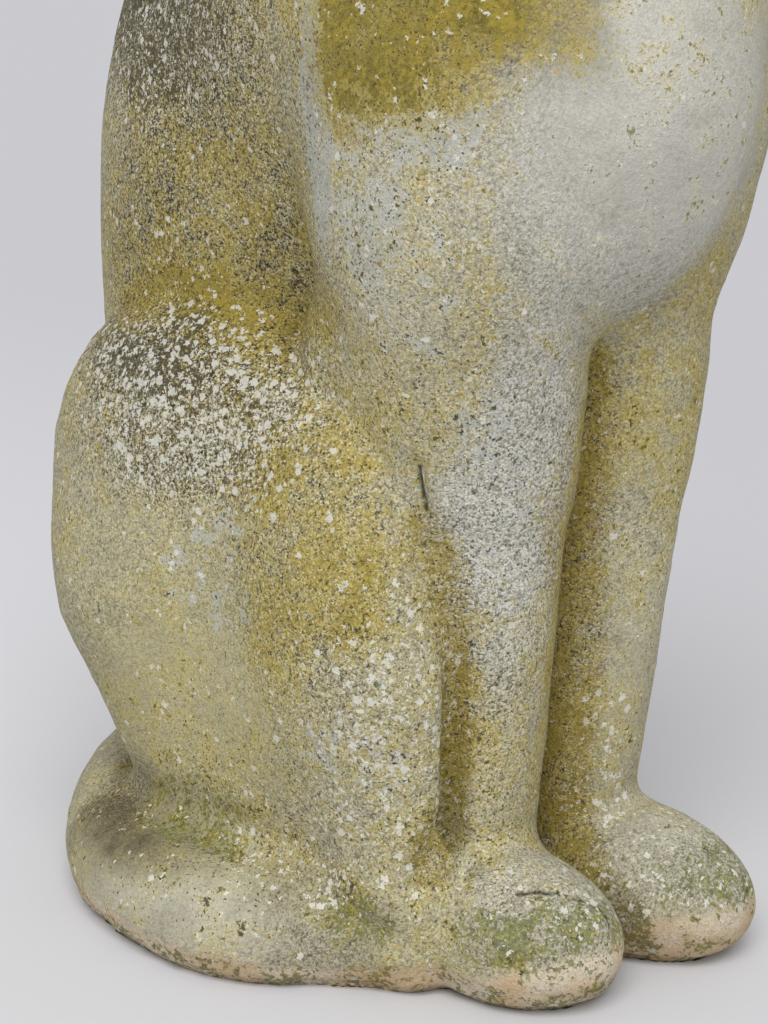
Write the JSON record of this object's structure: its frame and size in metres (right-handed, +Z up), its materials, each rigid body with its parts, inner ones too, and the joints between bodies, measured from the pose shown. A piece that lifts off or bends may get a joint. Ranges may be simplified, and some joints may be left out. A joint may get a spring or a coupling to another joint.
{
  "type": "garden cat sculpture",
  "caption": "Upright seated garden cat cast in cement as one solid, forelegs webbed together and tail laid round the right side, standing on a flat underside.",
  "frame": {"origin": "in the plane of the flat underside, at the centre of the bounding box's plan", "axes": "+Z up, the cat looks along -Y, +X is the cat's left side"},
  "size_m": [0.2214, 0.283, 0.54],
  "materials": {
    "cement": "rough cast cement, weathered, with lichen, moss and dark crust"
  },
  "bodies": {
    "root": {"cat_sculpture": "cement"}
  },
  "joints": []
}
